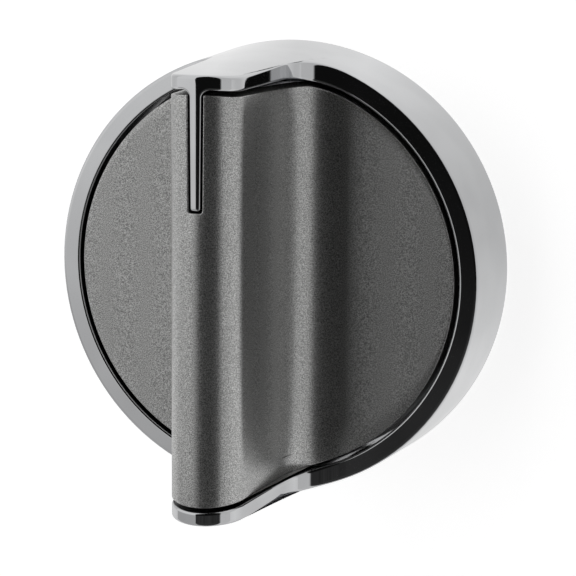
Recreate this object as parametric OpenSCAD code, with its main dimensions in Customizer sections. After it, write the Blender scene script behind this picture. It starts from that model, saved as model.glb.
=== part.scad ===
// Control knob of a cooktop: a chrome ring with a pointer, and a grey face whose middle rises into a grip bar.
// Z points out of the face, Y points along the bar to the pointer. The origin is on the axis, in the plane
// of the ring's back edge.

/* [Overall size] */
// Outer diameter of the ring at its back edge
knob_d = 50; // [48:0.5:60]
// Height of the grip's crest above the back edge
crest_h = 30; // [27:0.5:36]
// Height of the flat face, taken on the axis
face_h = 10.9; // [10.6:0.1:12.5]
// Fall of the flat face towards the rim, in degrees
face_fall = 1.2; // [0:0.1:2]
// Lean of the ring's outer wall, in degrees
wall_draft = 2.6; // [1:0.1:3.5]
// Lean of the inner moulded walls, in degrees
inner_draft = 0.8; // [0.3:0.1:1.2]

/* [Grip bar] */
// Radius of the full-round crest
crest_r = 3.95; // [3.5:0.05:4.6]
// Lean of each flank, in degrees
flank_draft = 1.7; // [0.5:0.1:2.5]
// Radius of the hollow where a flank runs out into the face
foot_r = 5.2; // [4.6:0.1:6.5]

/* [Ring] */
// Width of the ring's front edge beside the flat face
rim_w = 2.1; // [1.8:0.1:2.8]
// Wall of the ring behind its ledge
skirt_wall = 1.8; // [1.4:0.1:2.2]
// Height of the ledge's underside above the back edge
ledge_z = 5.4; // [5:0.1:5.6]
// Thickness of the ledge that the face stands on
ledge_t = 1.5; // [1:0.1:1.8]
// Width of the ledge, in from the ring's inner wall
ledge_w = 2; // [1.6:0.1:2.4]

/* [Pointer] */
// Distance of the pointer's tip from the axis
tip_y = 9.7; // [6:0.1:14]
// Width of the pointer at its tip
tip_w = 1.1; // [0.9:0.05:1.6]
// Width of the pointer where it leaves the ring
root_w = 1.3; // [1:0.05:1.8]
// Depth of the pointer, down from the crest
pointer_depth = 3; // [2:0.1:5]
// Radius of the corners between pointer and ring
root_r = 0.8; // [0.5:0.05:1.2]

/* [Face] */
// Wall of the face and of the grip bar
face_wall = 1.9; // [1.5:0.05:2.2]
// Gap between the face and the ring
rim_gap = 0.5; // [0.3:0.05:0.7]
// Gap on each side of the pointer
slot_gap = 0.22; // [0.15:0.01:0.3]
// Thickness of the ribs inside the grip bar
rib_t = 1.2; // [0.8:0.1:1.6]
// Distance of the ribs inside the grip bar from the axis
rib_y = 13; // [12:0.5:15]
// Width of the keys that stop the face from turning in the ring
key_w = 3; // [2:0.1:4]

/* [Carrier] */
// Thickness of the carrier's plate
plate_t = 1.8; // [1.4:0.1:2.2]
// Gap between the carrier and the ring
carrier_gap = 0.2; // [0.1:0.05:0.4]
// Height of the ribs and of the rim behind the plate
back_rib_h = 1.6; // [1:0.1:2]
// Thickness of the ribs and of the rim behind the plate
back_rib_t = 1.4; // [1:0.1:1.8]
// Number of ribs behind the plate
back_ribs = 8; // [4:4:12]
// Distance that the hub's end stands in from the back edge
hub_inset = 0.8; // [0.5:0.1:1.2]
// Height of the hub's inner end above the back edge
hub_top = 9.9; // [9:0.1:10]
// Outer radius of the hub
hub_r = 5; // [4.9:0.05:5.1]

/* [Stem] */
// Diameter of the appliance's stem
stem_d = 6; // [5:0.1:6.2]
// Distance of the stem's flat from the axis
stem_flat = 1.6; // [1.4:0.05:2]
// Gap between the stem and the part of the bore with a flat
stem_gap = 0.05; // [0.02:0.01:0.08]
// Gap between the stem's round shank and the mouth of the bore, which only clears it
mouth_gap = 0.25; // [0.2:0.01:0.4]
// Length of the round mouth, in front of the part of the bore with a flat
mouth_l = 3; // [2:0.1:3.4]
// Depth of the bevel at the bore's mouth
lead_in = 0.4; // [0.2:0.1:0.6]

/* [Spring clip and hub ring] */
// Thickness of the clip's steel strip
clip_t = 0.4; // [0.3:0.05:0.5]
// Width of the clip
clip_w = 4; // [3:0.1:4.4]
// Depth that the clip's outer leg is let into the hub
clip_sink = 0.5; // [0.4:0.05:0.6]
// Height that the clip's inner leg bows into the bore
clip_bow = 0.3; // [0.1:0.05:0.4]
// Width of the steel ring round the hub
ring_w = 2.2; // [1.5:0.1:2.4]
// Thickness of the steel ring round the hub
ring_t = 0.5; // [0.4:0.05:0.6]
// Gap between the hub and the steel ring or the sides of the clip
fit_gap = 0.05; // [0.03:0.01:0.1]

/* [Screws] */
// Number of screws that hold the carrier
screws = 4; // [2:2:4]
// Distance of the screws from the axis
screw_circle_r = 15; // [14.5:0.1:15.5]
// Outer diameter of the screw's thread
screw_d = 2.2; // [2:0.1:2.4]
// Length of the screw under its head
screw_l = 5.6; // [5:0.1:5.8]
// Diameter of the screw's head
head_d = 4.2; // [3.8:0.1:4.6]
// Height of the screw's head
head_h = 1.5; // [1.2:0.1:1.8]
// Outer diameter of the bosses that the screws bite in
boss_d = 4.6; // [4:0.1:5]
// Gap between a screw and its hole in the carrier
hole_gap = 0.2; // [0.1:0.05:0.3]
// Gap between a screw and its hole in the boss
bite_gap = 0.03; // [0.02:0.01:0.05]

/* [Hidden] */
$fn = 96;

// Cuts run past the faces that they open by this much
past = 1;
// An arc laps over a line that it touches by this much, so that the two cross at a point
lap = 0.005;

back_r = knob_d / 2;
face_r = back_r - face_h * tan(wall_draft);
ring_in_r = face_r - rim_w;
ledge_top = ledge_z + ledge_t;

// Radii of the drafted walls at a height: the ring's outside, the ring's inside above the ledge, the outside
// of the face, the recess behind the ledge and the ledge's own opening
function outer_r(z) = back_r - z * tan(wall_draft);
function ring_r(z) = ring_in_r - (z - face_h) * tan(inner_draft);
function insert_r(z) = ring_r(z) - rim_gap;
function recess_r(z) = back_r - skirt_wall - z * tan(inner_draft);
function ledge_in_r(z) = ring_r(ledge_top) - ledge_w - (z - ledge_z) * tan(inner_draft);

// Section across the bar. The crest is a circle, each flank is a line that touches it, and each foot is a
// circle that touches the flank and the face.
crest_c = [0, crest_h - crest_r];
flank_n = [cos(flank_draft), sin(flank_draft)];
face_n = [sin(face_fall), cos(face_fall)];
flank_d = flank_n * crest_c + crest_r + foot_r - 2 * lap;
face_d = face_n * [0, face_h] + foot_r - lap;
foot_c = [
    flank_d * face_n.y - face_d * flank_n.y,
    face_d * flank_n.x - flank_d * face_n.x
] / (flank_n.x * face_n.y - flank_n.y * face_n.x);

function mirror_x(p) = [-p.x, p.y];

// Region below the section, moved inwards by the given inset
module wave_2d(inset) {
    crest_edge = crest_c + flank_n * (crest_r - inset - lap);
    foot_top = foot_c - flank_n * (foot_r + inset - lap);
    foot_end = foot_c - face_n * (foot_r + inset - lap);
    far_x = back_r + past;
    far = [far_x, foot_end.y - (far_x - foot_end.x) * tan(face_fall)];
    right = [[far_x, -past], far, foot_end, foot_c, foot_top, crest_edge];
    left = [for (i = [len(right) - 1:-1:0]) mirror_x(right[i])];
    difference() {
        union() {
            polygon(concat(right, [crest_c], left));
            translate(crest_c) circle(crest_r - inset);
        }
        for (c = [foot_c, mirror_x(foot_c)])
            translate(c) circle(foot_r + inset);
    }
}

// The section drawn out along the bar, right across the knob
module wave_solid(inset) {
    rotate([90, 0, 0])
        linear_extrude(2 * (back_r + past), center = true)
            wave_2d(inset);
}

// Round body from one height to another, with the radius of a drafted wall at each end
module drafted(z0, r0, z1, r1) {
    translate([0, 0, z0]) cylinder(h = z1 - z0, r1 = r0, r2 = r1);
}

// Outline of the pointer seen from the front, grown by a gap for the slot that it lies in
module pointer_2d(grow) {
    root_y = ring_r(crest_h);
    half_tip = tip_w / 2 + grow;
    half_root = root_w / 2 + grow;
    corner_r = root_r - grow;
    difference() {
        union() {
            polygon([
                [-half_tip, tip_y - grow], [half_tip, tip_y - grow],
                [half_root, root_y + past], [-half_root, root_y + past]
            ]);
            translate([-half_root - corner_r, root_y - corner_r])
                square([2 * (half_root + corner_r), corner_r + past / 2]);
        }
        for (side = [-1, 1])
            translate([side * (half_root + corner_r), root_y - corner_r])
                circle(corner_r);
    }
}

// Section through one side of the ring, from the axis outwards, before its front edge is cut to the wave
module ring_section_2d() {
    top = crest_h + past;
    polygon([
        [back_r, 0], [outer_r(top), top], [ring_r(top), top], [ring_r(ledge_top), ledge_top],
        [ledge_in_r(ledge_top), ledge_top], [ledge_in_r(ledge_z), ledge_z],
        [recess_r(ledge_z), ledge_z], [recess_r(0), 0]
    ]);
}

module bezel() {
    top = crest_h + past;
    color("gainsboro") {
        difference() {
            intersection() {
                rotate_extrude() ring_section_2d();
                wave_solid(0);
            }
            keys(key_w + 2 * fit_gap, ledge_z - past);
        }
        intersection() {
            translate([0, 0, crest_h - pointer_depth])
                linear_extrude(pointer_depth + past) pointer_2d(0);
            wave_solid(0);
            drafted(0, outer_r(0) - rim_w / 2, top, outer_r(top) - rim_w / 2);
        }
    }
}

// Blocks in the ring of the ledge, one on each side of the bar, from the given height to the ledge's top
module keys(w, z0) {
    difference() {
        for (side = [0, 180])
            rotate([0, 0, side])
                translate([0, -w / 2, z0])
                    cube([ring_r(ledge_top) - rim_gap, w, ledge_top + fit_gap - z0]);
        drafted(-past, ledge_in_r(-past) - past, crest_h, ledge_in_r(crest_h) - past);
    }
}

module face_insert() {
    top = crest_h + past;
    inside_r = insert_r(ledge_top) - face_wall;
    color("dimgray")
        difference() {
            union() {
                difference() {
                    intersection() {
                        drafted(ledge_top, insert_r(ledge_top), top, insert_r(top));
                        wave_solid(0);
                    }
                    intersection() {
                        drafted(-past, inside_r, top, insert_r(top) - face_wall);
                        wave_solid(face_wall);
                    }
                }
                bar_ribs();
                screw_places() translate([0, 0, ledge_z]) cylinder(h = face_h - face_wall - ledge_z, d = boss_d);
                face_keys();
            }
            translate([0, 0, ledge_z - past])
                linear_extrude(top - ledge_z + past) pointer_2d(slot_gap);
            screw_places() cylinder(h = ledge_z - plate_t + screw_l + bite_gap, r = screw_d / 2 + bite_gap);
        }
}

// Keys under the face's skirt
module face_keys() {
    difference() {
        intersection() {
            keys(key_w, ledge_z + fit_gap);
            drafted(0, insert_r(ledge_top) - fit_gap, crest_h, insert_r(ledge_top) - fit_gap);
        }
        drafted(-past, ledge_in_r(-past) + fit_gap, crest_h, ledge_in_r(crest_h) + fit_gap);
    }
}

// Cross ribs that stiffen the hollow bar
module bar_ribs() {
    for (side = [-1, 1])
        intersection() {
            wave_solid(face_wall / 2);
            translate([-foot_c.x, side * rib_y - rib_t / 2, face_h - face_wall / 2])
                cube([2 * foot_c.x, rib_t, crest_h]);
        }
}

// Places of the screws, round the axis
module screw_places() {
    for (i = [0:screws - 1])
        rotate([0, 0, 45 + i * 360 / screws])
            translate([screw_circle_r, 0, 0])
                children();
}

module hub_carrier() {
    plate_r = recess_r(ledge_z) - carrier_gap;
    plate_z = ledge_z - plate_t;
    color("darkslategray")
        difference() {
            union() {
                translate([0, 0, plate_z]) cylinder(h = plate_t, r = plate_r);
                back_ribs(plate_r, plate_z);
                translate([0, 0, hub_inset]) cylinder(h = hub_top - hub_inset, r = hub_r);
            }
            ring_seat();
            stem_bore();
            clip_pocket();
            screw_places() cylinder(h = ledge_z + past, r = screw_d / 2 + hole_gap);
        }
}

// Rim and radial ribs behind the plate. The ribs start clear of the steel ring.
module back_ribs(plate_r, plate_z) {
    difference() {
        translate([0, 0, plate_z - back_rib_h]) cylinder(h = back_rib_h, r = plate_r);
        translate([0, 0, plate_z - back_rib_h - past])
            cylinder(h = back_rib_h + past, r = plate_r - back_rib_t);
    }
    for (i = [0:back_ribs - 1])
        rotate([0, 0, (i + 0.5) * 360 / back_ribs])
            translate([hub_r + ring_t, -back_rib_t / 2, plate_z - back_rib_h])
                cube([plate_r - hub_r - ring_t - back_rib_t / 2, back_rib_t, back_rib_h]);
}

// Step round the hub's end for the steel ring
module ring_seat() {
    translate([0, 0, hub_inset - past])
        difference() {
            cylinder(h = ring_w + past, r = hub_r + past);
            cylinder(h = ring_w + past, r = hub_r - ring_t);
        }
}

// Bore for the stem: a bevelled mouth, a round part and then a part with a flat
module stem_bore() {
    mouth_r = stem_d / 2 + mouth_gap;
    flat_r = stem_d / 2 + stem_gap;
    flat_z = hub_inset + lead_in + mouth_l;
    translate([0, 0, hub_inset]) cylinder(h = lead_in, r1 = mouth_r + lead_in, r2 = mouth_r);
    translate([0, 0, hub_inset - past]) cylinder(h = past, r = mouth_r + lead_in);
    translate([0, 0, hub_inset + lead_in]) cylinder(h = mouth_l, r = mouth_r);
    intersection() {
        translate([0, 0, flat_z]) cylinder(h = hub_top - flat_z + past, r = flat_r);
        translate([-flat_r, -stem_flat - stem_gap, flat_z])
            cube([2 * flat_r, 2 * flat_r, hub_top - flat_z + past]);
    }
}

// Where the clip's legs stand: the inner one in the flat of the bore, the outer one in a notch outside the hub
function inner_leg_y() = -stem_flat - stem_gap - clip_bow - clip_t;
function outer_leg_y() = -hub_r + clip_sink;

module clip_pocket() {
    w = clip_w + 2 * fit_gap;
    z0 = hub_inset + lead_in + mouth_l + past;
    translate([-w / 2, inner_leg_y(), z0])
        cube([w, -inner_leg_y(), hub_top - z0 + past]);
    translate([-w / 2, -hub_r - past, ledge_z + past])
        cube([w, past + clip_sink, hub_top - ledge_z]);
}

// Steel strip bent over the hub's inner end, with one leg in the bore and one outside
module stem_clip() {
    bend_r = (inner_leg_y() - outer_leg_y()) / 2;
    bend_y = (inner_leg_y() + outer_leg_y()) / 2;
    leg_z = hub_inset + lead_in + mouth_l + past + clip_t;
    outer_z = ledge_z + past + clip_t;
    leg_l = hub_top - leg_z;
    bow_r = (leg_l * leg_l / 4 + clip_bow * clip_bow) / (2 * clip_bow);
    color("lightsteelblue")
        rotate([90, 0, 90])
            linear_extrude(clip_w, center = true) {
                intersection() {
                    translate([bend_y, hub_top]) difference() {
                        circle(bend_r + clip_t);
                        circle(bend_r);
                    }
                    translate([bend_y - 2 * bend_r, hub_top]) square(4 * bend_r);
                }
                translate([outer_leg_y() - clip_t, outer_z]) square([clip_t, hub_top - outer_z]);
                intersection() {
                    translate([inner_leg_y() + clip_bow - bow_r, leg_z + leg_l / 2]) difference() {
                        circle(bow_r + clip_t);
                        circle(bow_r);
                    }
                    translate([inner_leg_y(), leg_z]) square([clip_t + clip_bow, leg_l]);
                }
            }
}

module hub_ring() {
    color("silver")
        translate([0, 0, hub_inset])
            difference() {
                cylinder(h = ring_w, r = hub_r);
                translate([0, 0, -past]) cylinder(h = ring_w + 2 * past, r = hub_r - ring_t + fit_gap);
            }
}

// Pan-head screw with a cross recess, its head against the back of the plate
module carrier_screw() {
    head_z = ledge_z - plate_t;
    dome_r = (head_d * head_d / 4 + head_h * head_h) / (2 * head_h);
    recess_d = head_h * 0.7;
    translate([0, 0, head_z]) cylinder(h = screw_l - screw_d / 2, d = screw_d);
    translate([0, 0, head_z + screw_l - screw_d / 2]) cylinder(h = screw_d / 2, d1 = screw_d, d2 = screw_d / 4);
    difference() {
        intersection() {
            translate([0, 0, head_z - head_h]) cylinder(h = head_h, d = head_d);
            translate([0, 0, head_z - head_h + dome_r]) sphere(dome_r);
        }
        for (turn = [0, 90])
            rotate([0, 0, turn])
                translate([-head_d / 4, -head_d / 16, head_z - head_h - past])
                    cube([head_d / 2, head_d / 8, recess_d + past]);
    }
}

module carrier_screws() {
    color("darkgray") screw_places() carrier_screw();
}

bezel();
face_insert();
hub_carrier();
stem_clip();
hub_ring();
carrier_screws();
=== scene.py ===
# %% [markdown]
# # A cooktop control knob
#
# The knob is a chrome ring with a thin pointer, round a grey metallic face whose middle rises into a grip bar.
# The solids come from a CAD model, packed in millimetre truth and loaded here as a fixed frame: Z points out
# of the face, Y points along the bar to the pointer, and everything is in metres. This file gives the solids
# the small roundings, finishes and light that the real knob has. It never changes their size.

import math

import bmesh
import bpy
import numpy as np
from mathutils import Matrix, Vector


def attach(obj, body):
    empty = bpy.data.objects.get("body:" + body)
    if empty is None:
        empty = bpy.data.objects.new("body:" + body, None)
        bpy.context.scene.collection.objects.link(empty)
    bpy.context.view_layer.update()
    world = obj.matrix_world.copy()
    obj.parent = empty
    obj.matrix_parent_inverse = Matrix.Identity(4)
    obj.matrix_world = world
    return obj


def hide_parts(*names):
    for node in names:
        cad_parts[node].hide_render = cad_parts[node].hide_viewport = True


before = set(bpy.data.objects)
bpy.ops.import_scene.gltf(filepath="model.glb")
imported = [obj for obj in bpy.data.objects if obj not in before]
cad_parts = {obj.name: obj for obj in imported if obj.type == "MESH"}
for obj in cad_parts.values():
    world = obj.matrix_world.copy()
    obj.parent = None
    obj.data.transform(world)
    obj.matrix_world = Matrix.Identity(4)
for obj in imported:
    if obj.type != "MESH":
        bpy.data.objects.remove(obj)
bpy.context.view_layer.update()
MM = 0.001
print("nodes:", sorted(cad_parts))

# %% [markdown]
# ## The wave
#
# Ring and face are cut by one and the same wave: a full-round crest, a nearly upright flank, a hollow foot and
# then the flat face, drawn out along the bar. A modeller could trace that section as a curve, but a rule is
# exact at any fineness. The rule below takes the length walked along the section from the crest, s, and the
# height over the surface, h, and gives x, z and the tilt of the surface. It is the same rule as in the CAD.

# %% The rule of the wave
CREST_R = 3.95 * MM
CREST_Z = 30 * MM - CREST_R
FOOT_R = 5.2 * MM
FLANK_LEAN = math.radians(1.7)
FACE_FALL = math.radians(1.2)
FACE_Z = 10.9 * MM

FLANK_N = np.array([math.cos(FLANK_LEAN), math.sin(FLANK_LEAN)])
FACE_N = np.array([math.sin(FACE_FALL), math.cos(FACE_FALL)])
foot_lines = np.array([FLANK_N, FACE_N])
foot_offsets = [FLANK_N[1] * CREST_Z + CREST_R + FOOT_R, FACE_N[1] * FACE_Z + FOOT_R]
FOOT_C = np.linalg.solve(foot_lines, foot_offsets)
CREST_L = CREST_R * (math.pi / 2 - FLANK_LEAN)
FLANK_L = float((FOOT_C - [0, CREST_Z]) @ [FLANK_N[1], -FLANK_N[0]])
FOOT_L = FOOT_R * (math.pi / 2 - FLANK_LEAN - FACE_FALL)
CURVED_L = CREST_L + FLANK_L + FOOT_L


def wave(s, h=0.0):
    """x, z and tilt of the surface at a length s from the crest and a height h over the surface."""
    side, s = np.sign(s), np.abs(s)
    crest = np.clip(s, 0, CREST_L)
    flank = np.clip(s - CREST_L, 0, FLANK_L)
    foot = np.clip(s - CREST_L - FLANK_L, 0, FOOT_L)
    flat = np.clip(s - CURVED_L, 0, None)
    turn = FLANK_LEAN + foot / FOOT_R
    tilt = crest / CREST_R - foot / FOOT_R
    x = (CREST_R * np.sin(crest / CREST_R) + flank * math.sin(FLANK_LEAN)
         + FOOT_R * (math.cos(FLANK_LEAN) - np.cos(turn)) + flat * math.cos(FACE_FALL) + h * np.sin(tilt))
    z = (CREST_Z + CREST_R * np.cos(crest / CREST_R) - flank * math.cos(FLANK_LEAN)
         - FOOT_R * (np.sin(turn) - math.sin(FLANK_LEAN)) - flat * math.sin(FACE_FALL) + h * np.cos(tilt))
    return side * x, z, side * tilt


def on_wave(s, y, h=0.0):
    x, z, _ = wave(np.asarray(s, float), h)
    return np.stack(np.broadcast_arrays(x, np.asarray(y, float), z), -1)


def tilt_normal(s):
    tilt = wave(np.asarray(s, float))[2]
    return np.stack([np.sin(tilt), 0 * tilt, np.cos(tilt)], -1)


print("section: crest %.2f, flank %.2f, foot %.2f mm" % (CREST_L / MM, FLANK_L / MM, FOOT_L / MM))

# %% [markdown]
# ## Drafted walls
#
# Moulded parts lean a little, so that they leave the mould. Each round wall of the knob is a very steep cone.
# A small record holds one: its radius at height 0, its lean, and the side on which its material lies.

# %% Cones
WALL_DRAFT = math.radians(2.6)
INNER_DRAFT = math.radians(0.8)
BACK_R = 25 * MM
RIM_R = BACK_R - FACE_Z * math.tan(WALL_DRAFT) - 2.1 * MM
RIM_GAP = 0.5 * MM
FACE_WALL = 1.9 * MM
SKIRT_WALL = 1.8 * MM
LEDGE_Z = 5.4 * MM
LEDGE_TOP = 6.9 * MM
LEDGE_W = 2.0 * MM


class Cone:
    def __init__(self, r0, lean, faces):
        self.r0, self.lean, self.faces = r0, lean, faces

    def r(self, z):
        return self.r0 - z * math.tan(self.lean)

    def inset(self, rho):
        """The cone that a ball of radius rho, rolling inside the material, follows with its centre."""
        return Cone(self.r0 - self.faces * rho / math.cos(self.lean), self.lean, self.faces)

    def at(self, theta, z):
        """Point at an angle from +Y towards +X, and at a height."""
        r = self.r(z)
        return np.stack(np.broadcast_arrays(r * np.sin(theta), r * np.cos(theta), z), -1)

    def normal(self, p):
        flat = p[..., :2] / np.linalg.norm(p[..., :2], axis=-1, keepdims=True)
        up = np.full(flat.shape[:-1] + (1,), math.sin(self.lean))
        return self.faces * np.concatenate([flat * math.cos(self.lean), up], -1)


OUTER = Cone(BACK_R, WALL_DRAFT, 1)
INNER = Cone(RIM_R + FACE_Z * math.tan(INNER_DRAFT), INNER_DRAFT, -1)
FACE_OUT = Cone(INNER.r0 - RIM_GAP, INNER_DRAFT, 1)
FACE_IN = Cone(FACE_OUT.r0 - FACE_WALL, INNER_DRAFT, -1)
RECESS = Cone(BACK_R - SKIRT_WALL, INNER_DRAFT, -1)
LEDGE_IN = Cone(INNER.r(LEDGE_TOP) - LEDGE_W + LEDGE_Z * math.tan(INNER_DRAFT), INNER_DRAFT, -1)


def rail(cone, h, s_values, flat_share):
    """Where a cone meets the wave at height h. s_values are lengths inside the curved part of the section, and
    flat_share runs from 0 at its end to 1 on the X axis, by angle. Gives s and y on the +X +Y quarter."""
    x, z, _ = wave(s_values, h)
    y = np.sqrt(cone.r(z) ** 2 - x ** 2)
    x_end, z_end, _ = wave(CURVED_L, h)
    theta0 = math.asin(x_end / cone.r(z_end))
    theta = theta0 + (math.pi / 2 - theta0) * np.asarray(flat_share)
    s = np.full(theta.shape, CURVED_L + 5 * MM)
    for _ in range(8):
        z = wave(s, h)[1]
        s = CURVED_L + (cone.r(z) * np.sin(theta) - x_end) / math.cos(FACE_FALL)
    z = wave(s, h)[1]
    return np.concatenate([s_values, s]), np.concatenate([y, cone.r(z) * np.cos(theta)])


# %% [markdown]
# ## Joining patches into closed shells
#
# Each part is put together from patches, which are grids of points in rows and columns. Where patches meet
# they share their points exactly, so that merging doubles closes the shell. A last step turns all faces
# outwards and marks the edges sharper than a limit, so that shading stays crisp there and smooth elsewhere.

# %% Patch builder
class Shell:
    def __init__(self):
        self.points, self.faces, self.marks = [], [], []

    def add(self, points, mark=0):
        first = len(self.points)
        self.points += [tuple(p) for p in points]
        self.marks += [mark] * len(points)
        return first

    def grid(self, rows, mark=0, close=False):
        """rows is an array of rows x columns x 3."""
        rows = np.asarray(rows, float)
        count, width = rows.shape[:2]
        first = self.add(rows.reshape(-1, 3), mark)
        for r in range(count - 1):
            for c in range(width if close else width - 1):
                d = (c + 1) % width
                at = first + r * width
                self.faces.append((at + c, at + d, at + width + d, at + width + c))

    def polygon(self, points, mark=0):
        first = self.add(points, mark)
        self.faces.append(tuple(range(first, first + len(points))))

    def mesh(self, name):
        data = bpy.data.meshes.new(name)
        data.from_pydata(self.points, [], self.faces)
        return data


def close_shell(data, sharp_deg, merge=2e-6):
    """Merges doubles, drops what has no area, turns the faces outwards and marks sharp edges."""
    bm = bmesh.new()
    bm.from_mesh(data)
    bmesh.ops.remove_doubles(bm, verts=bm.verts, dist=merge)
    bmesh.ops.dissolve_degenerate(bm, edges=bm.edges, dist=1e-7)
    bmesh.ops.recalc_face_normals(bm, faces=bm.faces)
    open_edges = sum(len(e.link_faces) != 2 for e in bm.edges)
    bm.to_mesh(data)
    bm.free()
    data.shade_smooth()
    data.set_sharp_from_angle(angle=math.radians(sharp_deg))
    print("%s: %d faces, %d open edges" % (data.name, len(data.polygons), open_edges))
    return data


def show(name, data, *nodes):
    """A finished piece: at the origin, on the knob's one body, standing for its CAD nodes."""
    piece = bpy.data.objects.new(name, data)
    bpy.context.scene.collection.objects.link(piece)
    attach(piece, "root")
    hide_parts(*nodes)
    return piece


def fillet(centre, rho, n0, n1, steps):
    """Rolling-ball rounding: rows of points on the balls, from one wall's normal to the other's."""
    cos = np.clip((n0 * n1).sum(-1, keepdims=True), -1, 1)
    angle = np.arccos(cos)
    rows = []
    for t in np.linspace(0, 1, steps + 1):
        n = (np.sin((1 - t) * angle) * n0 + np.sin(t * angle) * n1) / np.sin(angle)
        rows.append(centre + rho * n)
    return np.array(rows)


def between(a, b, shares):
    a, b = np.asarray(a, float), np.asarray(b, float)
    return np.array([a + (b - a) * t for t in shares])


# %% [markdown]
# ## The chrome ring
#
# On the real knob the ring is one chrome-plated moulding. Chrome mirrors its surroundings, so every edge shows
# as a thin bright or dark line, and the width of that line is the size of the rounding. A bevel modifier would
# round the edges too, but it stumbles over the long curved rim. Here a ball rolls along each edge instead:
# its centre follows the inset wave and the inset cone, and its skin is the rounding. The walls between are
# spread over the true cones, so the mirror stays clean.

# %% Stations round the ring
OUTER_RHO = 0.35 * MM
EDGE_RHO = 0.25 * MM
BACK_RHO = 0.15 * MM
ROUND_STEPS = 5
ROOT_STEPS = 5

# the pointer, seen from the front
TIP_Y = 9.7 * MM
TIP_HALF = 0.55 * MM
ROOT_HALF = 0.65 * MM
TIP_CORNER = 0.3 * MM
ROOT_R = 0.8 * MM
POINTER_Z = 27 * MM
CREST_Z_TOP = 30 * MM

rim_r = INNER.r(CREST_Z_TOP)
root_c = np.array([ROOT_HALF + ROOT_R, 0.0])
root_c[1] = math.sqrt((rim_r - ROOT_R) ** 2 - root_c[0] ** 2)
root_end = math.atan2(root_c[0], root_c[1])


def crest_s(x, rho):
    return CREST_R * np.arcsin(x / (CREST_R - rho))


root_centre_end = root_c + np.array([math.sin(root_end), math.cos(root_end)]) * (ROOT_R + EDGE_RHO)
ROOT_S = float(crest_s(root_centre_end[0], EDGE_RHO))

curved_s = np.concatenate([
    np.linspace(0, ROOT_S, ROOT_STEPS + 1)[:-1],
    np.linspace(ROOT_S, CREST_L, 11)[:-1],
    np.linspace(CREST_L, CREST_L + FLANK_L, 9)[:-1],
    np.linspace(CREST_L + FLANK_L, CURVED_L, 17)])
flat_share = np.linspace(0, 1, 25)[1:]
QUARTER = len(curved_s) + len(flat_share)
print("stations in a quarter of the ring:", QUARTER - 1)


def all_round(s, y):
    """Quarter to full loop, from +Y by +X, -Y and -X back to +Y."""
    s_full = np.concatenate([s, s[-2::-1], -s[1:], -s[-2:0:-1]])
    y_full = np.concatenate([y, -y[-2::-1], -y[1:], y[-2:0:-1]])
    return s_full, y_full


def ball_rail(cone, rho):
    """Loop of ball centres under the wave along a cone, with the normals of the wave and of the wall."""
    s, y = all_round(*rail(cone.inset(rho), -rho, curved_s, flat_share))
    centre = on_wave(s, y, -rho)
    return s, y, centre, tilt_normal(s), cone.normal(centre)


def angle_of(p):
    return np.unwrap(np.arctan2(p[..., 0], p[..., 1]))


out_s, out_y, out_c, out_n0, out_n1 = ball_rail(OUTER, OUTER_RHO)
in_s, in_y, in_c, in_n0, in_n1 = ball_rail(INNER, EDGE_RHO)
COUNT = len(out_s)
even = np.linspace(0, 2 * math.pi, COUNT, endpoint=False)
EVEN_SHARE = 0.45
foot_theta = EVEN_SHARE * even + (1 - EVEN_SHARE) * angle_of(out_c)
print("stations in all:", COUNT)

# %% Outside, back edge and ledge
EDGE_SHARES = np.array([0, 0.02, 0.08, 0.18, 0.3, 0.42, 0.54, 0.66, 0.78, 0.9, 0.98, 1])
SHEET_SHARES = np.array([0, 0.05, 0.2, 0.4, 0.6, 0.8, 0.95, 1])


def down_cone(cone, top, theta1, z1, shares):
    """Rows on a cone from given points down to an angle and height for each."""
    theta0, z0 = angle_of(top), top[..., 2]
    theta0 += 2 * math.pi * np.round((theta1 - theta0) / (2 * math.pi))
    return np.array([cone.at(theta0 + (theta1 - theta0) * t, z0 + (z1 - z0) * t) for t in shares])


ring = Shell()
outer_round = fillet(out_c, OUTER_RHO, out_n0, out_n1, ROUND_STEPS)
ring.grid(outer_round, close=True)
outside = down_cone(OUTER, outer_round[-1], foot_theta, np.full(COUNT, BACK_RHO), EDGE_SHARES)
outside[0] = outer_round[-1]
ring.grid(outside, close=True)


def hoop(r, z):
    return np.stack([r * np.sin(foot_theta), r * np.cos(foot_theta), np.full(COUNT, z)], -1)


back = [hoop(OUTER.r(BACK_RHO), BACK_RHO)]
back[0] = outside[-1]
for turn in np.radians([22.5, 45, 67.5, 90]):
    back.append(hoop(OUTER.r(BACK_RHO) - BACK_RHO * (1 - math.cos(turn)), BACK_RHO * (1 - math.sin(turn))))
for turn in np.radians([0, 30, 60, 90]):
    back.append(hoop(RECESS.r(0) + BACK_RHO * (1 - math.sin(turn)), BACK_RHO * (1 - math.cos(turn))))
back += [hoop(RECESS.r(LEDGE_Z), LEDGE_Z), hoop(LEDGE_IN.r(LEDGE_Z), LEDGE_Z),
         hoop(LEDGE_IN.r(LEDGE_TOP), LEDGE_TOP), hoop(INNER.r(LEDGE_TOP), LEDGE_TOP)]
ring.grid(back, close=True)

# %% Front edge of the ring, away from the pointer
# Columns of the front that don't meet the pointer: all but those within ROOT_S of the crest on the +Y side.
plain = np.r_[ROOT_STEPS:COUNT - ROOT_STEPS + 1]
inner_round = fillet(in_c[plain], EDGE_RHO, in_n0[plain], in_n1[plain], ROUND_STEPS)
ring.grid(inner_round)
front_s = between(in_s[plain], out_s[plain], SHEET_SHARES)
front_y = between(in_y[plain], out_y[plain], SHEET_SHARES)
ring.grid(on_wave(front_s, front_y))

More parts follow.
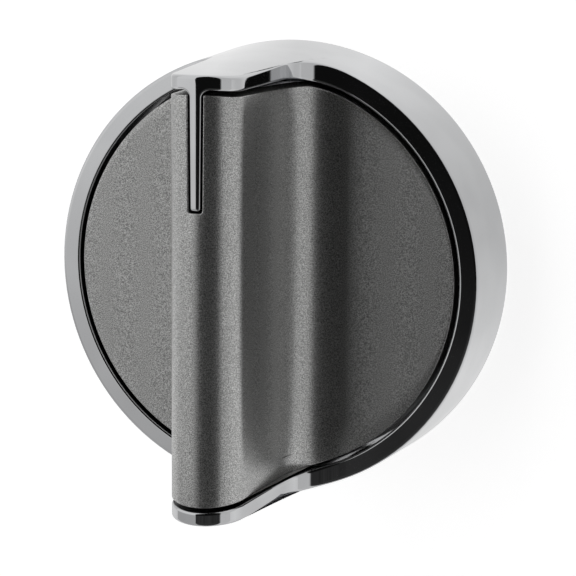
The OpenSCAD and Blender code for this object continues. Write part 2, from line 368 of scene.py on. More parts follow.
wall_top = inner_round[-1]
split_share = (wall_top[0, 2] - POINTER_Z) / (wall_top[0, 2] - LEDGE_TOP)
split_z = wall_top[:, 2] - split_share * (wall_top[:, 2] - LEDGE_TOP)
SPLIT_SHARES = [0, 0.04, 0.5, 1]
upper = down_cone(INNER, wall_top, angle_of(wall_top) * 0.9 + foot_theta[plain] * 0.1, split_z, SPLIT_SHARES)
upper[0] = wall_top
upper[:, 0] = down_cone(INNER, wall_top[:1], angle_of(wall_top)[:1], split_z[:1], SPLIT_SHARES)[:, 0]
upper[:, -1] = upper[:, 0] * [-1, 1, 1]
ring.grid(upper)

# the lower part of the inner wall goes right round, under the pointer too
root_theta = math.atan2(*upper[-1, 0, :2])
under = np.linspace(-root_theta, root_theta, 2 * ROOT_STEPS + 1)
under = INNER.at(under, np.full(len(under), POINTER_Z))
split_row = np.concatenate([under[ROOT_STEPS:-1], upper[-1], under[1:ROOT_STEPS]])
split_row[ROOT_STEPS], split_row[COUNT - ROOT_STEPS] = upper[-1, 0], upper[-1, -1]
lower = down_cone(INNER, split_row, foot_theta, np.full(COUNT, LEDGE_TOP), [0, 0.3, 0.65, 1])
lower[0], lower[-1] = split_row, back[-1]
ring.grid(lower, close=True)

# %% [markdown]
# ### The pointer
#
# The pointer is a thin tongue in one piece with the ring. Its outline is one path: half of the tip, a small
# corner, the long side, and the round corner where it runs out into the ring. Every point of that path
# is joined with a point on the middle line or, past the corner, on the ring's outer edge, so the front of
# the tongue follows the crest exactly.

# %% Pointer outline and its patches
SIDE_ROWS = 26
CORNER_STEPS = 4


def pointer_path(rho):
    """Ball centres in plan with the outward normal of the wall: tip, corner, side, root corner. +X half."""
    lean = math.atan2(ROOT_HALF - TIP_HALF, root_c[1] - TIP_Y)
    path = [(0.0, TIP_Y + rho, 0.0, -1.0)]
    corner = np.array([TIP_HALF - TIP_CORNER, TIP_Y + TIP_CORNER])
    for turn in np.linspace(0, math.pi / 2, CORNER_STEPS + 1):
        n = np.array([math.sin(turn), -math.cos(turn)])
        path.append((*(corner + (TIP_CORNER - rho) * n), *n))
    for t in np.linspace(0, 1, SIDE_ROWS + 1)[1:-1]:
        y = corner[1] + (root_c[1] - corner[1]) * t
        x = TIP_HALF + (y - corner[1]) * (ROOT_HALF - TIP_HALF) / (root_c[1] - corner[1]) - rho
        path.append((x, y, math.cos(lean), -math.sin(lean)))
    for turn in np.linspace(0, math.pi / 2 + root_end, 2 * ROOT_STEPS + 1):
        n = np.array([-math.cos(turn), math.sin(turn)])
        path.append((*(root_c + (ROOT_R + rho) * n), *(-n)))
    return np.array(path)


path = pointer_path(EDGE_RHO)
path[-1, :2] = in_c[ROOT_STEPS, :2]
half_s = crest_s(path[:, 0], EDGE_RHO)
half_s[-1] = in_s[ROOT_STEPS]
half_c = on_wave(half_s, path[:, 1], -EDGE_RHO)
half_n0 = tilt_normal(half_s)
root_share = np.clip((np.arange(len(path)) - (len(path) - 1 - 2 * ROOT_STEPS)) / (2 * ROOT_STEPS), 0, 1)
half_n1 = np.stack([path[:, 2], path[:, 3], -math.sin(INNER_DRAFT) * root_share], -1)
half_n1 /= np.linalg.norm(half_n1, axis=1, keepdims=True)

# the other end of each rung: the middle line up to the outer edge, and then along that edge
first_root = len(path) - 1 - 2 * ROOT_STEPS
top_y = out_y[0]
far_s = np.zeros(len(path))
far_y = np.clip(path[:, 1], TIP_Y + TIP_CORNER, None)
for k in range(ROOT_STEPS + 1):
    far_y[first_root + k] = path[first_root, 1] + (top_y - path[first_root, 1]) * k / ROOT_STEPS
    far_s[first_root + ROOT_STEPS + k], far_y[first_root + ROOT_STEPS + k] = out_s[k], out_y[k]

rungs_s = between(half_s, far_s, SHEET_SHARES)
rungs_y = between(path[:, 1], far_y, SHEET_SHARES)
half_round = fillet(half_c, EDGE_RHO, half_n0, half_n1, ROUND_STEPS)
half_wall = []
for t in SPLIT_SHARES:
    p = half_round[-1].copy()
    drop = (p[:, 2] - POINTER_Z) * t
    p[:, 2] -= drop
    out = p[:, :2] / np.linalg.norm(p[:, :2], axis=1, keepdims=True)
    p[:, :2] += out * (drop * math.tan(INNER_DRAFT) * root_share ** 4)[:, None]
    half_wall.append(p)
half_wall = np.array(half_wall)
half_wall[:, -1] = upper[:, 0]
half_round[:, -1] = inner_round[:, 0]
for side in (1, -1):
    flip = np.array([side, 1, 1])
    ring.grid(on_wave(rungs_s, rungs_y) * flip)
    ring.grid(half_round * flip)
    ring.grid(half_wall * flip)
tongue = list(half_wall[-1]) + list(under[::-1][1:-1]) + list((half_wall[-1] * [-1, 1, 1])[::-1])[:-1]
ring.polygon(tongue)
bezel_mesh = close_shell(ring.mesh("bezel_ring"), 30)

# %% [markdown]
# ## Wires instead of node clicks
#
# Materials and Geometry Nodes are both graphs of small nodes. Drawn by hand they are quick to make and slow to
# read. Here one method makes any node, and one small class wraps a socket, so that sums and products of
# sockets are written as plain expressions and become Math nodes.

# %% Wires
class Wire:
    def __init__(self, net, socket):
        self.net, self.socket = net, socket

    def math(self, operation, *others):
        values = [self, *others]
        return self.net.node("ShaderNodeMath", {"operation": operation}, dict(enumerate(values)))

    def __add__(self, other):
        return self.math("ADD", other)

    def __sub__(self, other):
        return self.math("SUBTRACT", other)

    def __rsub__(self, other):
        return self.net.value(other).math("SUBTRACT", self)

    def __mul__(self, other):
        return self.math("MULTIPLY", other)

    def __truediv__(self, other):
        return self.math("DIVIDE", other)

    __radd__, __rmul__ = __add__, __mul__


class Net:
    def __init__(self, tree):
        self.tree = tree

    def node(self, kind, settings=None, inputs=None, out=0):
        made = self.tree.nodes.new(kind)
        for key, value in (settings or {}).items():
            if key == "stops":
                for stop in list(made.color_ramp.elements)[1:]:
                    made.color_ramp.elements.remove(stop)
                for i, (place, level) in enumerate(value):
                    stop = made.color_ramp.elements[0] if i == 0 else made.color_ramp.elements.new(place)
                    stop.position, stop.color = place, (level, level, level, 1)
            else:
                setattr(made, key, value)
        for key, value in (inputs or {}).items():
            if isinstance(value, Wire):
                self.tree.links.new(value.socket, made.inputs[key])
            else:
                made.inputs[key].default_value = value
        return Wire(self, made.outputs[out]) if made.outputs else None

    def value(self, number):
        return number if isinstance(number, Wire) else self.node(
            "ShaderNodeMath", {"operation": "ADD"}, {0: number, 1: 0.0})

    def step(self, x, low, high):
        """0 below low, 1 above high, smooth between."""
        return self.node("ShaderNodeMapRange", {"interpolation_type": "SMOOTHSTEP"},
                         {"Value": x, "From Min": low, "From Max": high})

    def blend(self, share, a, b):
        """Colour a where share is 0, b where it is 1."""
        first, second = [(*c, 1) if isinstance(c, tuple) else c for c in (a, b)]
        return self.node("ShaderNodeMix", {"data_type": "RGBA"}, {0: share, 6: first, 7: second}, out=2)


def geometry_tree(name, inputs):
    """A Geometry Nodes tree with named inputs, given as name: socket type."""
    tree = bpy.data.node_groups.new(name, "GeometryNodeTree")
    tree.interface.new_socket("Geometry", in_out="INPUT", socket_type="NodeSocketGeometry")
    tree.interface.new_socket("Geometry", in_out="OUTPUT", socket_type="NodeSocketGeometry")
    for label, kind in inputs.items():
        tree.interface.new_socket(label, in_out="INPUT", socket_type=kind)
    return tree, Net(tree)


def run_tree(tree, data, name, values):
    """Puts the tree on a mesh with the given input values, and returns what it makes as a plain mesh."""
    host = bpy.data.objects.new(name + "_host", data)
    bpy.context.scene.collection.objects.link(host)
    modifier = host.modifiers.new("rule", "NODES")
    modifier.node_group = tree
    for item in tree.interface.items_tree:
        if item.in_out == "INPUT" and item.name in values:
            modifier[item.identifier] = values[item.name]
    graph = bpy.context.evaluated_depsgraph_get()
    made = bpy.data.meshes.new_from_object(host.evaluated_get(graph), depsgraph=graph)
    made.name = name
    host.modifiers.remove(modifier)
    bpy.data.objects.remove(host)
    return made


# %% [markdown]
# ## The grey face
#
# The face is one thin moulding, 1.9 mm thick, that follows the wave. It is the piece whose shape is a rule, so
# Geometry Nodes make it. The mesh below is cut flat, like a pattern: its points hold the length s along the
# section, the place y along the bar and the height h. A tree then bends the pattern over the crest and into
# the feet. Skirt and edge roundings are already in place, and the two meet when doubles are merged.

# %% Lay out the flat pattern
FACE_RHO = 0.12 * MM
SLOT_GAP = 0.22 * MM
SLOT_END = TIP_Y - SLOT_GAP
SLOT_HALF = TIP_HALF + SLOT_GAP
SLOT_CORNER = 0.3 * MM
SLOT_TAPER = (ROOT_HALF - TIP_HALF) / (rim_r + 1 * MM - SLOT_END)
LOW_ROWS, HIGH_ROWS = 10, 8
NEAR_COLUMNS = 7
ON_SHEET = 1
slot_corner_c = np.array([SLOT_HALF - SLOT_CORNER, SLOT_END + SLOT_CORNER])


def slot_x(y):
    return SLOT_HALF + (y - SLOT_END - SLOT_CORNER) * SLOT_TAPER


class Sheet:
    """One skin of the face: where its edge runs, and the grids that fill it."""

    def __init__(self, cone, h, grow):
        self.crest = CREST_R + h
        beyond = np.concatenate([
            np.linspace(0.55, 1, 9)[:-1] * CREST_L,
            np.linspace(CREST_L, CREST_L + FLANK_L, 7)[:-1],
            np.linspace(CREST_L + FLANK_L, CURVED_L, 17)])
        s, y = rail(cone, h, beyond, np.linspace(0, 1, 27)[1:])
        turns = np.linspace(0, math.pi / 2, CORNER_STEPS + 1)
        self.end_n = np.stack([-np.sin(turns), np.cos(turns)], -1)
        self.end = slot_corner_c - (SLOT_CORNER + grow) * self.end_n
        end_s = self.s_of(self.end[:, 0])
        end_s = np.concatenate([[0.0], end_s])
        end_y = np.concatenate([[self.end[0, 1]], self.end[:, 1]])
        end_low = np.array([self.rail_y(cone, h, v) for v in end_s])
        top_y = cone.r(CREST_Z + self.crest)
        for _ in range(5):
            top_s = float(self.s_of(slot_x(top_y) + grow))
            top_y = float(self.rail_y(cone, h, top_s))
        low_y = -end_low[-1]
        corner = (end_y[-1] - low_y) / (top_y - low_y)
        low_shares, high_shares = np.linspace(0, corner, LOW_ROWS + 1), np.linspace(corner, 1, HIGH_ROWS + 1)
        shares = np.concatenate([low_shares, high_shares[1:]])
        first_y = low_y + (top_y - low_y) * shares
        first_s = np.where(shares > corner, self.s_of(slot_x(first_y) + grow), end_s[-1])
        first_s[-1] = top_s
        near_s = first_s[:, None] + (s[0] - first_s[:, None]) * np.linspace(0, 1, NEAR_COLUMNS + 1)[:-1]
        near_top, near_low = self.rail_y(cone, h, near_s[-1]), -self.rail_y(cone, h, near_s[0])
        near_y = near_low + (near_top - near_low) * shares[:, None]
        near_y[:, 0] = first_y
        wide_y = -y + 2 * y * shares[:, None]
        self.wide = np.stack([np.column_stack([near_s, np.tile(s, (len(shares), 1))]),
                              np.column_stack([near_y, wide_y])], -1)
        mid_shares = (shares[:LOW_ROWS + 1] / corner)[:, None]
        self.mid = np.stack([np.tile(end_s, (LOW_ROWS + 1, 1)), -end_low + (end_y + end_low) * mid_shares], -1)
        self.side_y = first_y[LOW_ROWS:]
        right_s = np.concatenate([near_s[-1], s, s[-2::-1], near_s[0, ::-1], end_s[-2::-1]])
        right_y = np.concatenate([near_y[-1], y, -y[-2::-1], near_y[0, ::-1], -end_low[-2::-1]])
        self.s = np.concatenate([right_s, -right_s[-2::-1]])
        self.y = np.concatenate([right_y, right_y[-2::-1]])

    def s_of(self, x):
        return CREST_R * np.arcsin(np.asarray(x, float) / self.crest)

    @staticmethod
    def rail_y(cone, h, s):
        x, z, _ = wave(s, h)
        return np.sqrt(cone.r(z) ** 2 - x ** 2)

    def fill(self, shell, h):
        for side in (1, -1):
            for part in (self.wide, self.mid):
                flat = np.concatenate([part * [side, 1], np.full(part.shape[:2] + (1,), h)], -1)
                shell.grid(flat, ON_SHEET)


skin = Sheet(FACE_OUT.inset(FACE_RHO), -FACE_RHO, FACE_RHO)
lining = Sheet(FACE_IN, -FACE_WALL, 0.0)
face = Shell()
skin.fill(face, 0.0)
lining.fill(face, -FACE_WALL)
print("pattern points:", len(face.points))

# %% Roundings, skirt and slot walls of the face
FACE_STEPS = 4


rim_c = on_wave(skin.s, skin.y, -FACE_RHO)
rim_n0, rim_n1 = tilt_normal(skin.s), FACE_OUT.normal(rim_c)
rim_round = fillet(rim_c, FACE_RHO, rim_n0, rim_n1, FACE_STEPS)

# slot edge from the middle of its end to the rim, +X half
side_plan = np.stack([slot_x(skin.side_y[1:]), skin.side_y[1:]], -1)
slot_plan = np.concatenate([[[0.0, SLOT_END]], slot_corner_c - SLOT_CORNER * skin.end_n, side_plan])
slot_n = np.concatenate([[[0.0, 1.0]], skin.end_n, np.tile([-1.0, 0.0], (len(side_plan), 1))])
slot_c = slot_plan - FACE_RHO * slot_n
slot_s = skin.s_of(slot_c[:, 0])
slot_s[-1] = skin.s[0]
slot_c3 = on_wave(slot_s, slot_c[:, 1], -FACE_RHO)
slot_n3 = np.concatenate([slot_n, np.zeros((len(slot_n), 1))], -1)
slot_round = fillet(slot_c3, FACE_RHO, tilt_normal(slot_s), slot_n3, FACE_STEPS)
mitre = slot_round[:, -1].copy()
mitre[:, 1] = rim_round[:, 0, 1]
mitre[:, 2] = (slot_round[:, -1, 2] + rim_round[:, 0, 2]) / 2
slot_round[:, -1] = rim_round[:, 0] = mitre
rim_round[:, -1] = mitre * [-1, 1, 1]


def slot_column(cone, z):
    """Points where a cone meets the plane of the slot's +X wall."""
    y = cone.r(z)
    for _ in range(4):
        y = np.sqrt(cone.r(z) ** 2 - slot_x(y) ** 2)
    return np.stack([slot_x(y), y, z], -1)


rim_theta = angle_of(rim_round[-1])
even_theta = np.linspace(rim_theta[0], rim_theta[-1], len(rim_theta))
skirt_theta = EVEN_SHARE * even_theta + (1 - EVEN_SHARE) * rim_theta
WALL_SHARES = np.array([0, 0.04, 0.35, 0.7, 1])
skirt = down_cone(FACE_OUT, rim_round[-1], skirt_theta, np.full(len(rim_theta), LEDGE_TOP), WALL_SHARES)
inner_top = on_wave(lining.s, lining.y, -FACE_WALL)
inner_wall = down_cone(FACE_IN, inner_top, skirt_theta, np.full(len(rim_theta), LEDGE_TOP), WALL_SHARES)
skirt[0], inner_wall[0] = rim_round[-1], inner_top
skirt[1:, 0] = slot_column(FACE_OUT, skirt[1:, 0, 2])
inner_wall[1:, 0] = slot_column(FACE_IN, inner_wall[1:, 0, 2])
for rows in (skirt, inner_wall):
    rows[:, -1] = rows[:, 0] * [-1, 1, 1]
face.grid(rim_round)
face.grid(skirt)
face.grid(np.array([skirt[-1], inner_wall[-1]]))
face.grid(inner_wall)

end_count = CORNER_STEPS + 2
lining_end = on_wave(lining.s_of(slot_plan[:end_count, 0]), slot_plan[:end_count, 1], -FACE_WALL)
lining_side = on_wave(lining.s_of(slot_x(lining.side_y)), lining.side_y, -FACE_WALL)
lining_side[-1] = inner_top[0]
for side in (1, -1):
    flip = np.array([side, 1, 1])
    face.grid(slot_round * flip)
    face.grid(np.array([slot_round[-1, :end_count], lining_end]) * flip)
    cut = [*slot_round[-1, end_count - 1:], *skirt[1:, 0], *inner_wall[::-1, 0], *lining_side[-2::-1]]
    face.polygon(np.array(cut) * flip)

# %% Bosses and ribs under the face
SCREWS = 4
SCREW_CIRCLE_R = 15 * MM
BOSS_R = 2.3 * MM
BITE_R = 1.13 * MM
BOSS_TOP = FACE_Z - FACE_WALL
RIB_T = 1.2 * MM
RIB_Y = 13 * MM


def tube(shell, centre, r_in, r_out, z0, z1, sides=32):
    turn = np.linspace(0, 2 * math.pi, sides, endpoint=False)
    rows = [[(centre[0] + r * math.cos(a), centre[1] + r * math.sin(a), z) for a in turn]
            for r, z in ((r_in, z0), (r_out, z0), (r_out, z1), (r_in, z1), (r_in, z0))]
    shell.grid(rows, close=True)


for i in range(SCREWS):
    turn = math.radians(45 + 360 * i / SCREWS)
    centre = (SCREW_CIRCLE_R * math.cos(turn), SCREW_CIRCLE_R * math.sin(turn))
    tube(face, centre, BITE_R, BOSS_R, LEDGE_Z, BOSS_TOP)
rib_s = np.linspace(-CURVED_L, CURVED_L, 61)
for side in (1, -1):
    edge = [on_wave(rib_s, side * (RIB_Y + t * RIB_T / 2), -FACE_WALL / 2) for t in (-1, 1)]
    foot = [e * [1, 1, 0] + [0, 0, FACE_Z - FACE_WALL / 2] for e in edge]
    face.grid([foot[0], edge[0], edge[1], foot[1], foot[0]])
    for e, f in zip(edge, foot):
        face.grid([e[:1], f[:1]])
    for k in (0, -1):
        face.polygon([edge[0][k], foot[0][k], foot[1][k], edge[1][k]])
print("pattern with skirt, bosses and ribs:", len(face.points), "points")

# %% The tree that bends the pattern
BEND_INPUTS = {"Crest radius": "NodeSocketFloat", "Crest centre height": "NodeSocketFloat",
               "Flank lean": "NodeSocketFloat", "Flank length": "NodeSocketFloat",
               "Foot radius": "NodeSocketFloat", "Face fall": "NodeSocketFloat",
               "Merge distance": "NodeSocketFloat", "Finish": "NodeSocketMaterial"}


def bending_tree():
    tree, net = geometry_tree("bend over the wave", BEND_INPUTS)
    given = tree.nodes.new("NodeGroupInput")
    size = {name: Wire(net, given.outputs[name]) for name in BEND_INPUTS}
    r, lean, fall = size["Crest radius"], size["Flank lean"], size["Face fall"]
    quarter = math.pi / 2
    crest_l = r * (quarter - lean)
    foot_l = size["Foot radius"] * (quarter - lean - fall)
    place = net.node("GeometryNodeInputPosition")
    axes = [net.node("ShaderNodeSeparateXYZ", None, {0: place}, out=i) for i in range(3)]
    along, h = axes[0].math("ABSOLUTE"), axes[2]

    def part(start, length):
        return (along - start).math("MAXIMUM", 0.0).math("MINIMUM", length)

    crest, flank = part(0.0, crest_l), part(crest_l, size["Flank length"])
    foot = part(crest_l + size["Flank length"], foot_l)
    flat = (along - crest_l - size["Flank length"] - foot_l).math("MAXIMUM", 0.0)
    turn = lean + foot / size["Foot radius"]
    tilt = crest / r - foot / size["Foot radius"]
    x = (r * (crest / r).math("SINE") + flank * lean.math("SINE")
         + size["Foot radius"] * (lean.math("COSINE") - turn.math("COSINE"))
         + flat * fall.math("COSINE") + h * tilt.math("SINE"))
    z = (size["Crest centre height"] + r * (crest / r).math("COSINE") - flank * lean.math("COSINE")
         - size["Foot radius"] * (turn.math("SINE") - lean.math("SINE"))
         - flat * fall.math("SINE") + h * tilt.math("COSINE"))
    bent = net.node("ShaderNodeCombineXYZ", None, {0: x * axes[0].math("SIGN"), 1: axes[1], 2: z})
    on_sheet = net.node("GeometryNodeInputNamedAttribute", {"data_type": "BOOLEAN"}, {"Name": "on_sheet"})
    moved = net.node("GeometryNodeSetPosition", None,
                     {"Geometry": Wire(net, given.outputs["Geometry"]), "Selection": on_sheet, "Position": bent})
    merged = net.node("GeometryNodeMergeByDistance", None,
                      {"Geometry": moved, "Distance": size["Merge distance"]})
    real = net.node("GeometryNodeRealizeInstances", None, {"Geometry": merged})
    done = net.node("GeometryNodeSetMaterial", None, {"Geometry": real, "Material": size["Finish"]})
    tree.links.new(done.socket, tree.nodes.new("NodeGroupOutput").inputs[0])
    return tree


# %% [markdown]
# ## Finishes
#
# The solids came with flat stand-in colours. Each finish below is built from the object's own coordinates, in
# metres, so that a grain of paint keeps its real size.

# %% Material builder
FINISHES = {}


def finish(slot):
    """A new material with a Principled shader, kept under the record's slot name."""
    material = bpy.data.materials.new(slot)
    material.use_nodes = True
    net = Net(material.node_tree)
    shader = next(n for n in material.node_tree.nodes if n.type == "BSDF_PRINCIPLED")
    FINISHES[slot] = material
    here = net.node("ShaderNodeTexCoord", out="Object")
    return net, shader, here


def noise(net, where, grain, detail=2.0, rough=0.5):
    """Soft noise whose blots are about the given size in metres."""
    return net.node("ShaderNodeTexNoise", None,
                    {"Vector": where, "Scale": 1 / grain, "Detail": detail, "Roughness": rough})


def feed(net, shader, **links):
    for name, value in links.items():
        socket = shader.inputs[name.replace("_", " ")]
        if isinstance(value, Wire):
            net.tree.links.new(value.socket, socket)
        else:
            socket.default_value = value


# %% [markdown]
# ### Chrome
#
# Decorative chrome on a moulded part is a mirror with a cool tint. What keeps it from looking computed is how
# the mirror wavers: the plastic under the plating is never quite flat, and the polish varies by a hair. The
# walls in the narrow gap that face the grey part get a near-black base colour: painted shade for the dark gap.

# %% Chrome plating
# painted shade: a near-black base colour for the chrome walls in the gap, standing in for the gap's shade
GAP_PAINTED_SHADE = (0.09, 0.09, 0.095)
net, shader, here = finish("chrome_plating")
sweep = noise(net, here, 6 * MM, 1.0)
polish = noise(net, here, 0.9 * MM)
tint = net.blend(net.step(sweep, 0.35, 0.65), (0.62, 0.625, 0.635), (0.66, 0.665, 0.675))
swell = net.node("ShaderNodeBump", None, {"Strength": 0.06, "Distance": 0.05 * MM, "Height": sweep})
x, y, z = [net.node("ShaderNodeSeparateXYZ", None, {0: here}, out=i) for i in range(3)]
radius = (x * x + y * y).math("POWER", 0.5) + z * math.tan(INNER_DRAFT)
upward = net.node("ShaderNodeSeparateXYZ", None, {0: net.node("ShaderNodeNewGeometry", out="Normal")}, out=2)
# painted shade mask: chrome tint outside the gap radius and on faces that look up, painted shade on the rest
outside = net.step(radius, INNER.r0 + 0.01 * MM, INNER.r0 + 0.06 * MM)
clear_of_painted_shade = (outside + net.step(upward, 0.1, 0.35)).math("MINIMUM", 1.0)
tint = net.blend(clear_of_painted_shade, GAP_PAINTED_SHADE, tint)
feed(net, shader, Base_Color=tint, Metallic=1.0, Roughness=0.035 + 0.03 * polish, Normal=swell)
print("chrome nodes:", len(net.tree.nodes))

# %% [markdown]
# ### Grey metallic paint
#
# The paint is a satin coat full of tiny metal flakes. Each flake lies at its own small angle, so the surface
# sparkles from point to point while the whole still mirrors light and dark as broad soft bands. A fine noise
# gives each spot its own shade and tips its normal a little, and a second one, coarser, is the cloudiness
# that sprayed paint has.

# %% Metallic paint
FLAKE = 0.1 * MM
net, shader, here = finish("grey_metallic_paint")
flake = noise(net, here, FLAKE, 1.0)
cloud = noise(net, here, 4 * MM, 2.0)
glint = net.step(flake, 0.34, 0.66)
shade = net.blend(glint, (0.24, 0.24, 0.237), (0.8, 0.8, 0.79))
shade = net.blend(0.25 * cloud, shade, (0.5, 0.5, 0.494))
grain = net.node("ShaderNodeBump", None, {"Strength": 0.25, "Distance": 0.01 * MM, "Height": flake})
feed(net, shader, Base_Color=shade, Metallic=0.85, Roughness=0.3 + 0.06 * cloud, Normal=grain)

# %% [markdown]
# ### Black nylon, spring steel and zinc plate
#
# Behind the face there are plainer parts. The carrier is black glass-filled nylon with the fine spark-eroded
# grain of its mould. Clip and hub ring are rolled spring steel, with marks along the roll. The screws are zinc
# plated, a little cloudy and bluish.

# %% Finishes of the parts behind
net, shader, here = finish("black_nylon")
mould = noise(net, here, 0.12 * MM, 3.0)
flow = noise(net, here, 5 * MM)
shade = net.blend(flow, (0.022, 0.022, 0.024), (0.035, 0.035, 0.037))
grain = net.node("ShaderNodeBump", None, {"Strength": 0.5, "Distance": 0.02 * MM, "Height": mould})
feed(net, shader, Base_Color=shade, Roughness=0.46 + 0.16 * mould, Normal=grain)

net, shader, here = finish("spring_steel")
rolled = net.node("ShaderNodeMapping", None, {"Vector": here, "Scale": (9.0, 1.0, 1.0)})
marks = noise(net, rolled, 0.6 * MM, 4.0, 0.65)
shade = net.blend(marks, (0.42, 0.425, 0.435), (0.6, 0.605, 0.61))
grain = net.node("ShaderNodeBump", None, {"Strength": 0.2, "Distance": 0.01 * MM, "Height": marks})
feed(net, shader, Base_Color=shade, Metallic=1.0, Roughness=0.2 + 0.2 * marks, Normal=grain)

net, shader, here = finish("zinc_plated_steel")
cloud = noise(net, here, 0.8 * MM, 3.0)
shade = net.blend(cloud, (0.55, 0.57, 0.6), (0.72, 0.73, 0.74))
feed(net, shader, Base_Color=shade, Metallic=1.0, Roughness=0.22 + 0.22 * cloud)

# %% Ring and face take their finishes
bezel_mesh.materials.append(FINISHES["chrome_plating"])
bezel = show("bezel_ring", bezel_mesh, "bezel")

pattern = face.mesh("face_pattern")
flags = pattern.attributes.new("on_sheet", "BOOLEAN", "POINT")
flags.data.foreach_set("value", np.array(face.marks, bool))
BEND_VALUES = {"Crest radius": CREST_R, "Crest centre height": CREST_Z, "Flank lean": FLANK_LEAN,
               "Flank length": FLANK_L, "Foot radius": FOOT_R, "Face fall": FACE_FALL,
               "Merge distance": 2e-6, "Finish": FINISHES["grey_metallic_paint"]}
face_mesh = run_tree(bending_tree(), pattern, "face_cover", BEND_VALUES)
face_mesh.attributes.remove(face_mesh.attributes["on_sheet"])
close_shell(face_mesh, 35)
cover = show("face_cover", face_mesh, "face_insert")

# %% [markdown]
# ## Parts behind the face
#
# The parts behind keep their solids from the CAD model and only change their stand-in colours for finishes.

# %% Finishes on the solids
CAD_NODES = {"hub_carrier": "black_nylon", "stem_clip": "spring_steel", "hub_ring": "spring_steel",
             "carrier_screws": "zinc_plated_steel"}
for name, slot in CAD_NODES.items():
    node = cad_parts[name]
    for place in node.material_slots:
        place.material = FINISHES[slot]
print("finished solids:", ", ".join(CAD_NODES))

# %% [markdown]
# ## Camera
#
# The photograph was taken from 20.4 degrees to the right of the axis and 10.1 degrees above it, from about
# 27 cm. Those numbers came from fitting the outlines of rim, gap, pointer and crest. The lens follows from
# them, and a small shift puts the knob where it is in the frame.

# %% Camera
VIEW_RIGHT = math.radians(20.3505)
VIEW_ABOVE = math.radians(10.1037)
VIEW_ROLL = math.radians(0.4503)
DISTANCE = 268.2 * MM
FRAME_PX = 576
FOCAL_PX = 2339.44
CENTRE_PX = (8.46, 30.27)

away = Vector((math.sin(VIEW_RIGHT) * math.cos(VIEW_ABOVE), math.sin(VIEW_ABOVE),
               math.cos(VIEW_RIGHT) * math.cos(VIEW_ABOVE)))
level = Vector((math.cos(VIEW_RIGHT), 0, -math.sin(VIEW_RIGHT)))
turned = Matrix((level, away.cross(level), away)).transposed().to_4x4() @ Matrix.Rotation(VIEW_ROLL, 4, "Z")
camera = bpy.data.objects.new("camera", bpy.data.cameras.new("camera"))
bpy.context.scene.collection.objects.link(camera)
camera.matrix_world = Matrix.Translation(away * DISTANCE) @ turned
camera.data.sensor_width = 36
camera.data.lens = FOCAL_PX / FRAME_PX * camera.data.sensor_width
camera.data.shift_x, camera.data.shift_y = -CENTRE_PX[0] / FRAME_PX, -CENTRE_PX[1] / FRAME_PX
camera.data.clip_start, camera.data.clip_end = 0.01, 20
bpy.context.scene.camera = camera
print("lens %.1f mm, shift %.4f, %.4f" % (camera.data.lens, camera.data.shift_x, camera.data.shift_y))

# %% [markdown]
# ## Light
#
# Chrome has no look of its own: it shows the room. In the photograph the room is a pale tent with one
# black panel in front, round the camera, which draws the crisp black shapes on the ring. The world below is
# that tent. It goes by the direction a ray leaves in: pale to the left, to the right and behind, dark in front.

# %% World
bpy.context.scene.view_settings.view_transform = "Standard"
LEFT_EDGE_DEG = (-20.3, -18.9)
RIGHT_EDGE_DEG = (54.0, 60.0)
DARK_PANEL, PANEL_SHEEN = 0.006, 0.07
LEFT_LOW, LEFT_RISE, RIGHT_WALL = 0.42, 0.4, 0.6
world = bpy.data.worlds.new("tent")
bpy.context.scene.world = world
world.use_nodes = True
net = Net(world.node_tree)
for n in list(world.node_tree.nodes):
    world.node_tree.nodes.remove(n)
direction = net.node("ShaderNodeTexCoord", out="Generated")
x, y, z = [net.node("ShaderNodeSeparateXYZ", None, {0: direction}, out=i) for i in range(3)]
sweep = x.math("ARCTAN2", z) * (180 / math.pi)
left = 1 - net.step(sweep, *LEFT_EDGE_DEG)
right = net.step(sweep, *RIGHT_EDGE_DEG)
higher = net.step(y, -0.3, -0.05)
below = 1 - net.step(y, -0.35, -0.12)
sheen = noise(net, direction, 0.05) * below * PANEL_SHEEN
tent = DARK_PANEL + sheen + left * (LEFT_LOW + LEFT_RISE * higher) + RIGHT_WALL * right
sight = net.node("ShaderNodeLightPath", out="Is Camera Ray")
level = sight + (1 - sight) * tent
background = net.node("ShaderNodeBackground", None, {"Color": (1, 1, 1, 1), "Strength": level})
net.node("ShaderNodeOutputWorld", None, {"Surface": background})
print("tent nodes:", len(net.tree.nodes))

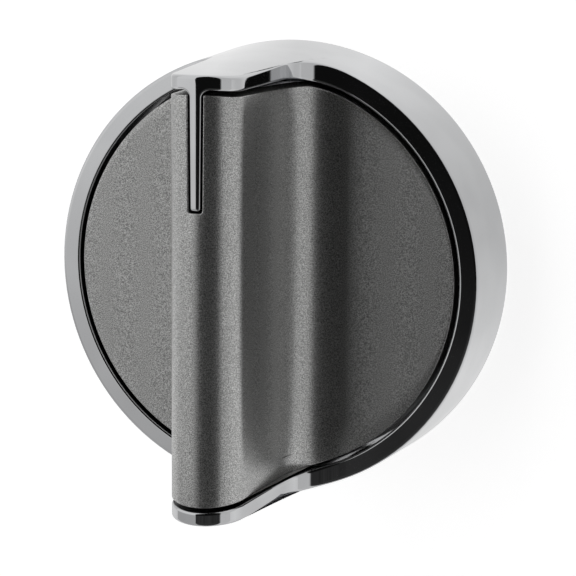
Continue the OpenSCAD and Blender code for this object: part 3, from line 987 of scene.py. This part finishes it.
# %% [markdown]
# ### Floor
#
# The knob lies on white paper. What the camera sees of it is white, with the knob's soft shadow. What the chrome
# mirrors of it is less even, since the paper is lit from above and from behind: bright beyond the pointer,
# greyer on the right. A colour ramp gives that level by the bearing from the knob's axis.

# %% Floor
FLOOR_HALF = 1.2
SEEN_GLOW = 0.82
FLOOR_LEVELS = [(0, 0.8), (20, 0.9), (40, 0.77), (65, 0.63), (80, 0.63), (100, 0.75), (120, 0.84),
                (150, 0.7), (180, 0.65)]
floor_mesh = bpy.data.meshes.new("floor")
floor_mesh.from_pydata([(-FLOOR_HALF, -FLOOR_HALF, 0), (FLOOR_HALF, -FLOOR_HALF, 0),
                        (FLOOR_HALF, FLOOR_HALF, 0), (-FLOOR_HALF, FLOOR_HALF, 0)], [], [(0, 1, 2, 3)])
floor = bpy.data.objects.new("floor", floor_mesh)
floor.location.z = -0.02 * MM
bpy.context.scene.collection.objects.link(floor)
paper = bpy.data.materials.new("paper")
paper.use_nodes = True
net = Net(paper.node_tree)
shader = next(n for n in paper.node_tree.nodes if n.type == "BSDF_PRINCIPLED")
seen = net.node("ShaderNodeLightPath", out="Is Camera Ray")
feed(net, shader, Base_Color=(0.8, 0.8, 0.8, 1), Roughness=0.9, Emission_Strength=SEEN_GLOW,
     Emission_Color=net.blend(seen, (0.0, 0.0, 0.0), (1.0, 1.0, 1.0)))
place = net.node("ShaderNodeTexCoord", out="Object")
x, y = [net.node("ShaderNodeSeparateXYZ", None, {0: place}, out=i) for i in range(2)]
bearing = x.math("ARCTAN2", y).math("ABSOLUTE") * (180 / math.pi)
pale = net.node("ShaderNodeValToRGB", {"stops": [(deg / 180, level) for deg, level in FLOOR_LEVELS]},
                {"Fac": bearing / 180})
mirror_side = net.node("ShaderNodeEmission", None, {"Color": pale, "Strength": 1.0})
mirrored = net.node("ShaderNodeLightPath", out="Is Glossy Ray")
paper_side = Wire(net, shader.outputs[0])
both = net.node("ShaderNodeMixShader", None, {0: mirrored, 1: paper_side, 2: mirror_side})
end = next(n for n in paper.node_tree.nodes if n.type == "OUTPUT_MATERIAL")
net.tree.links.new(both.socket, end.inputs["Surface"])
floor_mesh.materials.append(paper)
